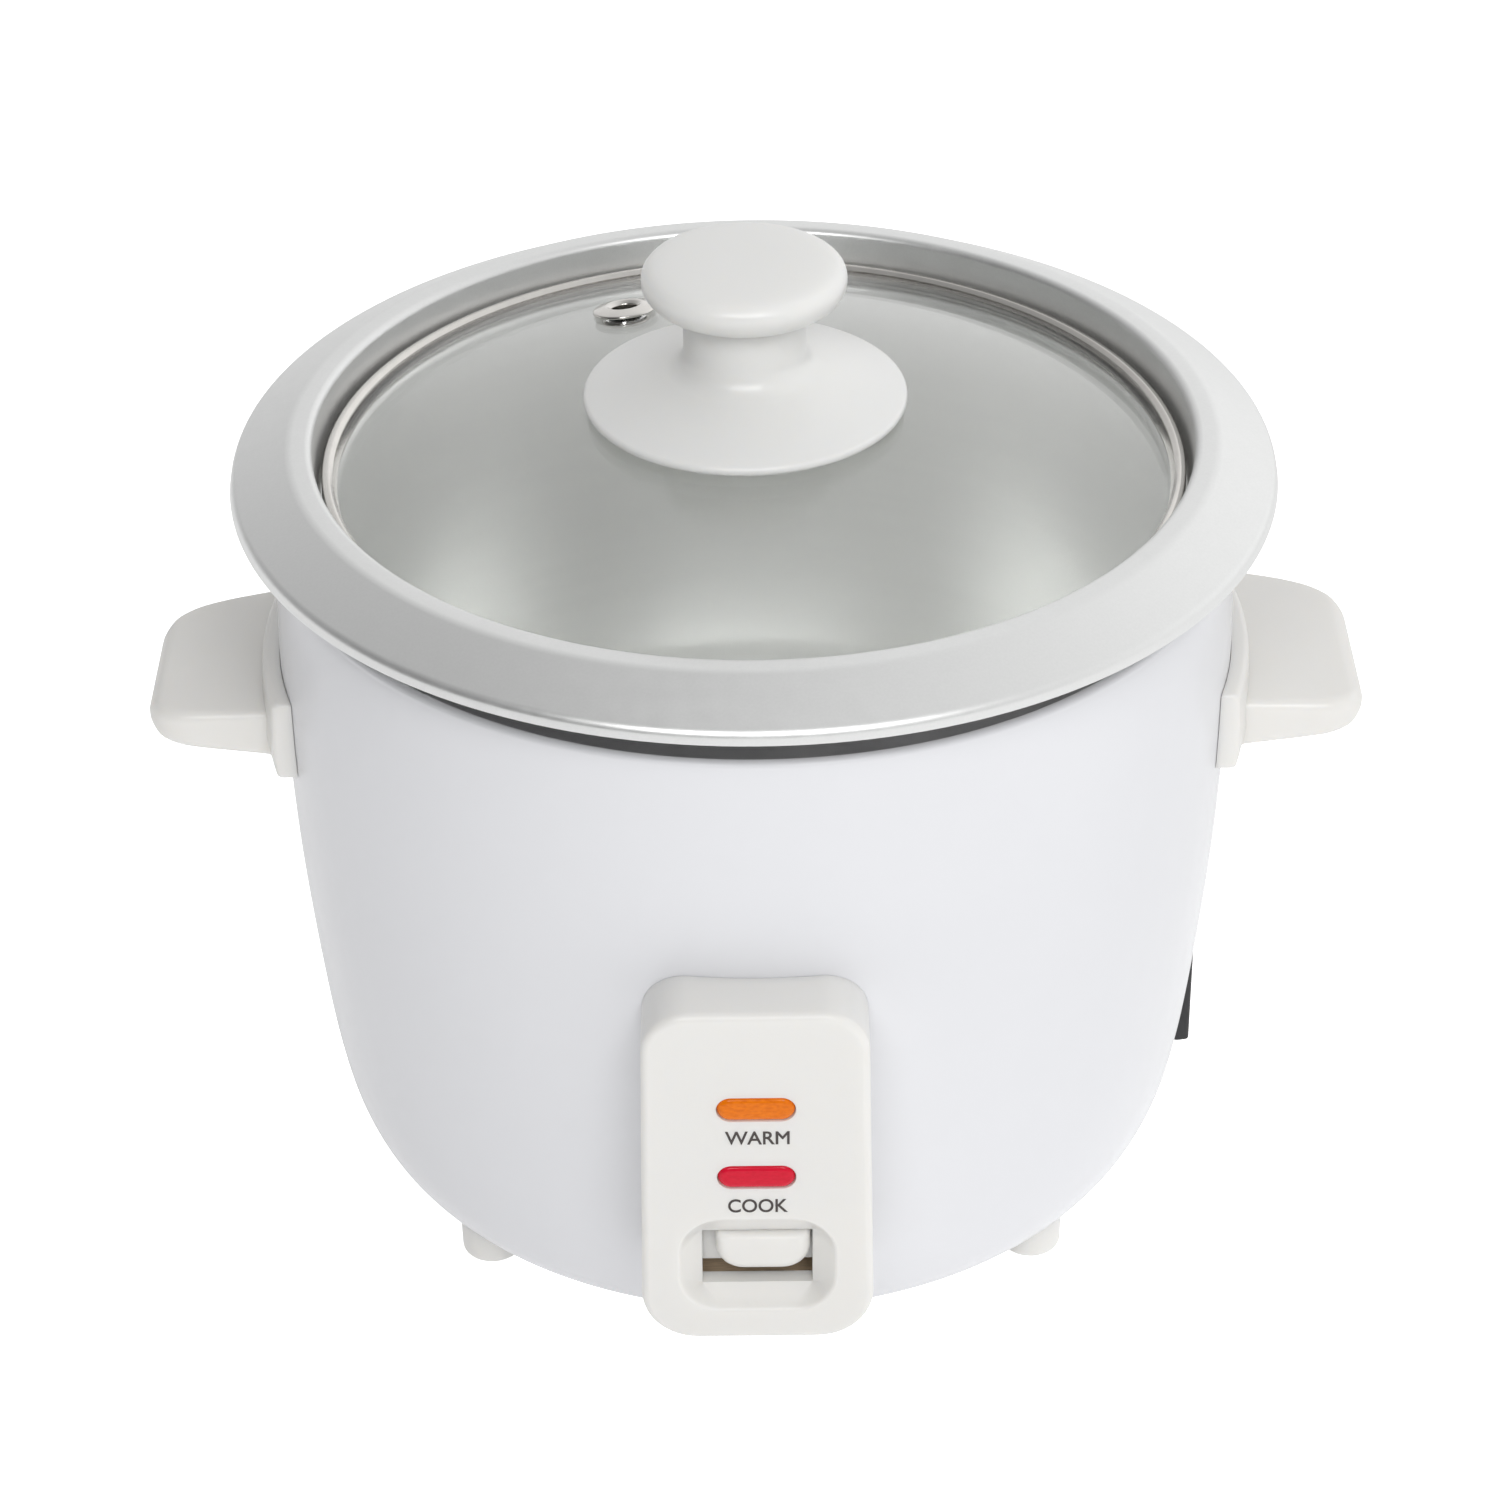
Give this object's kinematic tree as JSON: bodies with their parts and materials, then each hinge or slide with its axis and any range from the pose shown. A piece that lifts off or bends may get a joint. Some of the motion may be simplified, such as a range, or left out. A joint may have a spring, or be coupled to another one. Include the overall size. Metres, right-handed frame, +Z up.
{
  "type": "rice cooker",
  "caption": "Drum-shaped electric rice cooker with a lift-out brimmed pot, domed glass lid with a mushroom knob, side handles, and a front switch housing with a lever and lamps.",
  "frame": {"origin": "centre of the bounding box in X and Y, on the surface that the feet stand on", "axes": "+X towards the handle on the power inlet side, -Y towards the switch housing, +Z up"},
  "size_m": [0.2424, 0.2106, 0.2018],
  "materials": {
    "shell_paint": "gloss white enamel",
    "white_plastic": "off-white moulded plastic",
    "pot_aluminium": "satin",
    "chamber_aluminium": "dull",
    "cast_aluminium": "cast and turned",
    "stainless": "polished",
    "steel": "plain",
    "zinc_plate": "zinc plated",
    "lid_glass": "clear tempered",
    "black_plastic": "satin black",
    "phenolic": "pressed phenolic",
    "ferrite": "sintered ferrite",
    "silicone": "silicone",
    "amber_lens": "translucent amber",
    "red_lens": "translucent red",
    "lamp_glass": "clear neon lamp",
    "lead_black": "insulation",
    "lead_pale": "heat-resistant sleeve"
  },
  "bodies": {
    "cooker": {"outer_shell": "shell_paint", "bottom_cover": "zinc_plate", "foot_1": "white_plastic", "foot_2": "white_plastic", "foot_3": "white_plastic", "foot_4": "white_plastic", "foot_screw_1": "zinc_plate", "foot_screw_2": "zinc_plate", "foot_screw_3": "zinc_plate", "foot_screw_4": "zinc_plate", "heat_chamber": "chamber_aluminium", "hot_plate": "cast_aluminium", "plate_spacer_1": "steel", "plate_spacer_2": "steel", "plate_spacer_3": "steel", "heating_element": "steel", "sensor_spring": "steel", "sensor_bracket": "zinc_plate", "switch_bracket": "zinc_plate", "lever_pin": "steel", "contact_block": "phenolic", "switch_housing": "white_plastic", "housing_screw_left": "zinc_plate", "housing_screw_right": "zinc_plate", "warm_lens": "amber_lens", "cook_lens": "red_lens", "warm_lamp": "lamp_glass", "cook_lamp": "lamp_glass", "lamp_holder": "phenolic", "right_handle": "white_plastic", "left_handle": "white_plastic", "handle_screw_right_1": "zinc_plate", "handle_screw_right_2": "zinc_plate", "handle_screw_left_1": "zinc_plate", "handle_screw_left_2": "zinc_plate", "power_inlet": "black_plastic", "inlet_pin_live": "steel", "inlet_pin_neutral": "steel", "inlet_pin_earth": "steel", "thermal_fuse": "silicone", "lead_live": "lead_black", "lead_neutral": "lead_pale", "lead_switched": "lead_black", "lead_fused": "lead_pale"},
    "pot": {"inner_pot": "pot_aluminium"},
    "lid": {"lid_glass": "lid_glass", "lid_ring": "stainless", "lid_knob": "white_plastic", "knob_washer": "silicone", "knob_screw": "steel", "vent_grommet": "stainless"},
    "lever": {"cook_lever": "white_plastic", "lever_arm": "zinc_plate"},
    "button": {"contact_button": "white_plastic"},
    "magnet": {"plunger_magnet": "ferrite", "plunger_rod": "steel", "magnet_spring": "steel"},
    "sensor": {"sensor_cap": "cast_aluminium", "sensor_tube": "steel", "fixed_ferrite": "ferrite"}
  },
  "joints": [
    {"name": "pot_lift", "type": "slide", "parent": "cooker", "child": "pot", "axis": [0, 0, 1], "range_m": [0, 0.12]},
    {"name": "lid_lift", "type": "slide", "parent": "pot", "child": "lid", "axis": [0, 0, 1], "range_m": [0, 0.08]},
    {"name": "cook_lever", "type": "hinge", "parent": "cooker", "child": "lever", "pos_m": [0, -0.07755, 0.031], "axis": [1, 0, 0], "range_deg": [0, 7], "stiffness_Nm_per_rad": 0.2, "springref_deg": -11.46},
    {"name": "magnet_slide", "type": "slide", "parent": "cooker", "child": "magnet", "axis": [0, 0, 1], "range_m": [0, 0.0098], "deforming": ["magnet_spring"]},
    {"name": "button_slide", "type": "slide", "parent": "cooker", "child": "button", "axis": [0, 0, -1], "range_m": [0, 0.0017]},
    {"name": "sensor_slide", "type": "slide", "parent": "cooker", "child": "sensor", "axis": [0, 0, 1], "range_m": [-0.0015, 0], "stiffness_N_per_m": 300, "springref_m": 0.003, "deforming": ["sensor_spring"]}
  ],
  "couplings": [
    {"joint": "magnet_slide", "follows": "cook_lever", "m_per_rad": 0.08},
    {"joint": "button_slide", "follows": "cook_lever", "m_per_rad": 0.0135}
  ]
}
